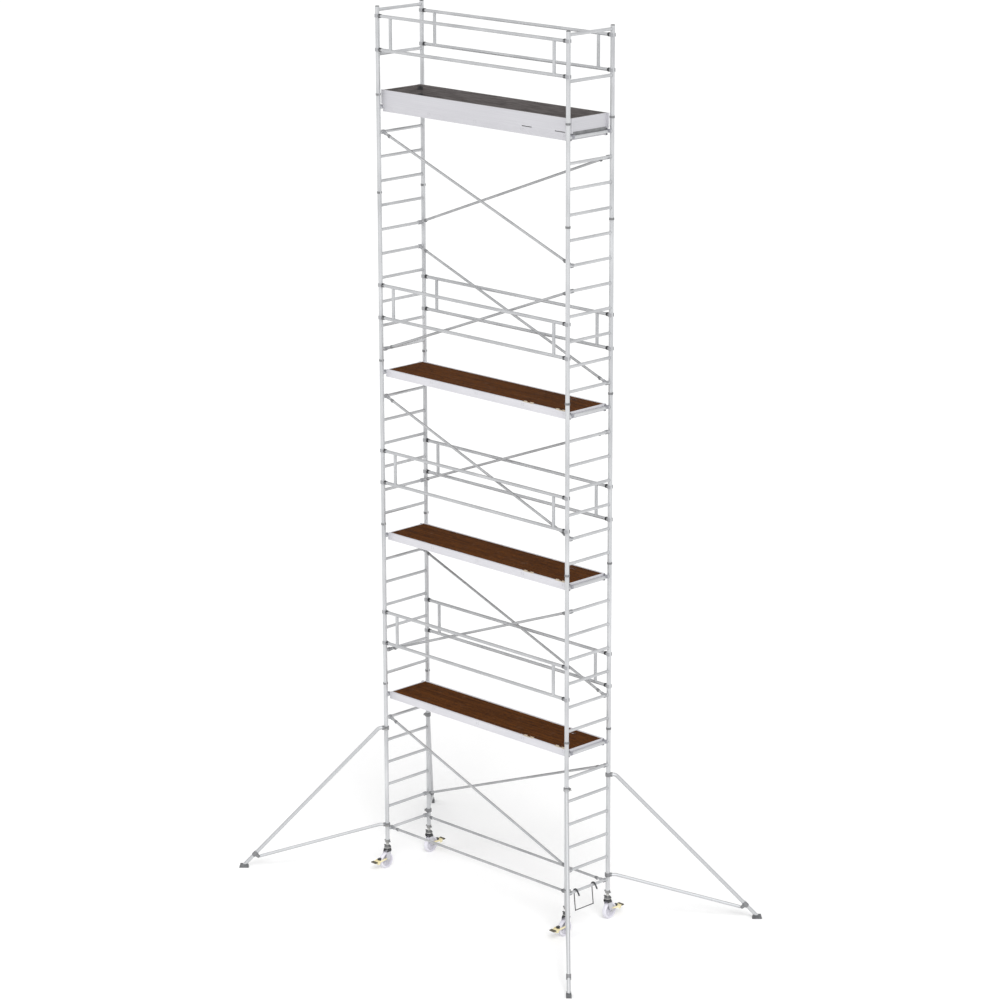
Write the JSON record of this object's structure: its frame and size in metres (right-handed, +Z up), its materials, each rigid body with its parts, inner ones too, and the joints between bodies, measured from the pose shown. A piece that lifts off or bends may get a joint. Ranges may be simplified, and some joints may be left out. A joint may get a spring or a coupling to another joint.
{
  "type": "mobile tower scaffold",
  "caption": "Narrow aluminium mobile scaffold tower with ladder end frames, hatch platforms, guard rails, diagonal braces, outriggers and braked casters.",
  "frame": {"origin": "on the floor under the middle of the tower", "axes": "+X along the platforms towards the hatch end, +Y across the tower towards the back guard rails, +Z up"},
  "size_m": [5.6578, 3.3178, 10.5299],
  "materials": {
    "frame_tube": "satin extruded aluminium",
    "rail_tube": "satin extruded aluminium",
    "brace_tube": "satin drawn aluminium",
    "outrigger_tube": "satin extruded aluminium",
    "deck_profile": "mill finish extrusion",
    "deck_plywood": "film-faced plywood",
    "grey_plywood": "film-faced plywood",
    "toe_board": "light grey faced board",
    "dark_plastic": "moulded glass-filled plastic",
    "zinc_steel": "zinc plated",
    "black_fork": "black enamel",
    "wheel_plastic": "light grey nylon",
    "pedal_yellow": "yellow enamel",
    "foot_rubber": "moulded rubber",
    "stirrup_paint": "dark grey powder coat"
  },
  "bodies": {
    "tower": {"base_frame_left": "frame_tube", "base_frame_right": "frame_tube", "second_frame_left": "frame_tube", "second_frame_right": "frame_tube", "third_frame_left": "frame_tube", "third_frame_right": "frame_tube", "fourth_frame_left": "frame_tube", "fourth_frame_right": "frame_tube", "short_frame_left": "frame_tube", "short_frame_right": "frame_tube", "top_rail_frames": "frame_tube", "frame_spigots": "frame_tube", "spigot_clips": "dark_plastic", "post_caps": "dark_plastic", "snap_claws": "dark_plastic", "platform_1_frame": "deck_profile", "platform_1_panel": "deck_plywood", "guard_rails_1": "rail_tube", "platform_2_frame": "deck_profile", "platform_2_panel": "deck_plywood", "guard_rails_2": "rail_tube", "platform_3_frame": "deck_profile", "platform_3_panel": "deck_plywood", "guard_rails_3": "rail_tube", "platform_4_frame": "deck_profile", "platform_4_panel": "grey_plywood", "guard_rails_4": "rail_tube", "toe_boards": "toe_board", "front_braces": "brace_tube", "back_braces": "brace_tube", "spindle_nuts": "zinc_steel"},
    "spindle_front_left": {"caster_spindle_front_left": "zinc_steel"},
    "fork_front_left": {"caster_fork_front_left": "black_fork"},
    "wheel_front_left": {"caster_wheel_front_left": "wheel_plastic"},
    "pedal_front_left": {"caster_pedal_front_left": "pedal_yellow"},
    "outrigger_front_left": {"outrigger_front_left": "outrigger_tube", "outrigger_foot_front_left": "foot_rubber"},
    "spindle_front_right": {"caster_spindle_front_right": "zinc_steel"},
    "fork_front_right": {"caster_fork_front_right": "black_fork"},
    "wheel_front_right": {"caster_wheel_front_right": "wheel_plastic"},
    "pedal_front_right": {"caster_pedal_front_right": "pedal_yellow"},
    "outrigger_front_right": {"outrigger_front_right": "outrigger_tube", "outrigger_foot_front_right": "foot_rubber"},
    "spindle_back_left": {"caster_spindle_back_left": "zinc_steel"},
    "fork_back_left": {"caster_fork_back_left": "black_fork"},
    "wheel_back_left": {"caster_wheel_back_left": "wheel_plastic"},
    "pedal_back_left": {"caster_pedal_back_left": "pedal_yellow"},
    "outrigger_back_left": {"outrigger_back_left": "outrigger_tube", "outrigger_foot_back_left": "foot_rubber"},
    "spindle_back_right": {"caster_spindle_back_right": "zinc_steel"},
    "fork_back_right": {"caster_fork_back_right": "black_fork"},
    "wheel_back_right": {"caster_wheel_back_right": "wheel_plastic"},
    "pedal_back_right": {"caster_pedal_back_right": "pedal_yellow"},
    "outrigger_back_right": {"outrigger_back_right": "outrigger_tube", "outrigger_foot_back_right": "foot_rubber"},
    "hatch_1": {"platform_1_hatch": "deck_plywood"},
    "hatch_2": {"platform_2_hatch": "deck_plywood"},
    "hatch_3": {"platform_3_hatch": "deck_plywood"},
    "hatch_4": {"platform_4_hatch": "grey_plywood"},
    "stirrup": {"access_stirrup": "stirrup_paint"}
  },
  "joints": [
    {"name": "height_front_left", "type": "slide", "parent": "tower", "child": "spindle_front_left", "axis": [0, 0, 1], "range_m": [-0.2, 0]},
    {"name": "swivel_front_left", "type": "hinge", "parent": "spindle_front_left", "child": "fork_front_left", "pos_m": [-1.52, -0.35, 0.244], "axis": [0, 0, 1], "continuous": true},
    {"name": "roll_front_left", "type": "hinge", "parent": "fork_front_left", "child": "wheel_front_left", "pos_m": [-1.52, -0.378, 0.1], "axis": [1, 0, 0], "continuous": true},
    {"name": "brake_front_left", "type": "hinge", "parent": "fork_front_left", "child": "pedal_front_left", "pos_m": [-1.52, -0.4, 0.128], "axis": [-1, 0, 0], "range_deg": [0, 18]},
    {"name": "swing_front_left", "type": "hinge", "parent": "tower", "child": "outrigger_front_left", "pos_m": [-1.52, -0.35, 1.2], "axis": [0, 0, 1], "range_deg": [-45, 45]},
    {"name": "height_front_right", "type": "slide", "parent": "tower", "child": "spindle_front_right", "axis": [0, 0, 1], "range_m": [-0.2, 0]},
    {"name": "swivel_front_right", "type": "hinge", "parent": "spindle_front_right", "child": "fork_front_right", "pos_m": [1.52, -0.35, 0.244], "axis": [0, 0, 1], "continuous": true},
    {"name": "roll_front_right", "type": "hinge", "parent": "fork_front_right", "child": "wheel_front_right", "pos_m": [1.52, -0.378, 0.1], "axis": [1, 0, 0], "continuous": true},
    {"name": "brake_front_right", "type": "hinge", "parent": "fork_front_right", "child": "pedal_front_right", "pos_m": [1.52, -0.4, 0.128], "axis": [-1, 0, 0], "range_deg": [0, 18]},
    {"name": "swing_front_right", "type": "hinge", "parent": "tower", "child": "outrigger_front_right", "pos_m": [1.52, -0.35, 1.2], "axis": [0, 0, 1], "range_deg": [-45, 45]},
    {"name": "height_back_left", "type": "slide", "parent": "tower", "child": "spindle_back_left", "axis": [0, 0, 1], "range_m": [-0.2, 0]},
    {"name": "swivel_back_left", "type": "hinge", "parent": "spindle_back_left", "child": "fork_back_left", "pos_m": [-1.52, 0.35, 0.244], "axis": [0, 0, 1], "continuous": true},
    {"name": "roll_back_left", "type": "hinge", "parent": "fork_back_left", "child": "wheel_back_left", "pos_m": [-1.52, 0.378, 0.1], "axis": [1, 0, 0], "continuous": true},
    {"name": "brake_back_left", "type": "hinge", "parent": "fork_back_left", "child": "pedal_back_left", "pos_m": [-1.52, 0.4, 0.128], "axis": [1, 0, 0], "range_deg": [0, 18]},
    {"name": "swing_back_left", "type": "hinge", "parent": "tower", "child": "outrigger_back_left", "pos_m": [-1.52, 0.35, 1.2], "axis": [0, 0, 1], "range_deg": [-45, 45]},
    {"name": "height_back_right", "type": "slide", "parent": "tower", "child": "spindle_back_right", "axis": [0, 0, 1], "range_m": [-0.2, 0]},
    {"name": "swivel_back_right", "type": "hinge", "parent": "spindle_back_right", "child": "fork_back_right", "pos_m": [1.52, 0.35, 0.244], "axis": [0, 0, 1], "continuous": true},
    {"name": "roll_back_right", "type": "hinge", "parent": "fork_back_right", "child": "wheel_back_right", "pos_m": [1.52, 0.378, 0.1], "axis": [1, 0, 0], "continuous": true},
    {"name": "brake_back_right", "type": "hinge", "parent": "fork_back_right", "child": "pedal_back_right", "pos_m": [1.52, 0.4, 0.128], "axis": [1, 0, 0], "range_deg": [0, 18]},
    {"name": "swing_back_right", "type": "hinge", "parent": "tower", "child": "outrigger_back_right", "pos_m": [1.52, 0.35, 1.2], "axis": [0, 0, 1], "range_deg": [-45, 45]},
    {"name": "hatch_1_lid", "type": "hinge", "parent": "tower", "child": "hatch_1", "pos_m": [1.09, -0.2677, 2.25814], "axis": [1, 0, 0], "range_deg": [0, 92]},
    {"name": "hatch_2_lid", "type": "hinge", "parent": "tower", "child": "hatch_2", "pos_m": [1.09, -0.2677, 4.25814], "axis": [1, 0, 0], "range_deg": [0, 92]},
    {"name": "hatch_3_lid", "type": "hinge", "parent": "tower", "child": "hatch_3", "pos_m": [1.09, -0.2677, 6.25814], "axis": [1, 0, 0], "range_deg": [0, 92]},
    {"name": "hatch_4_lid", "type": "hinge", "parent": "tower", "child": "hatch_4", "pos_m": [1.09, -0.2677, 9.401], "axis": [1, 0, 0], "range_deg": [0, 92]},
    {"name": "stirrup_swing", "type": "hinge", "parent": "tower", "child": "stirrup", "pos_m": [1.52, -0.045, 0.49986], "axis": [0, 1, 0], "range_deg": [-30, 30]}
  ]
}
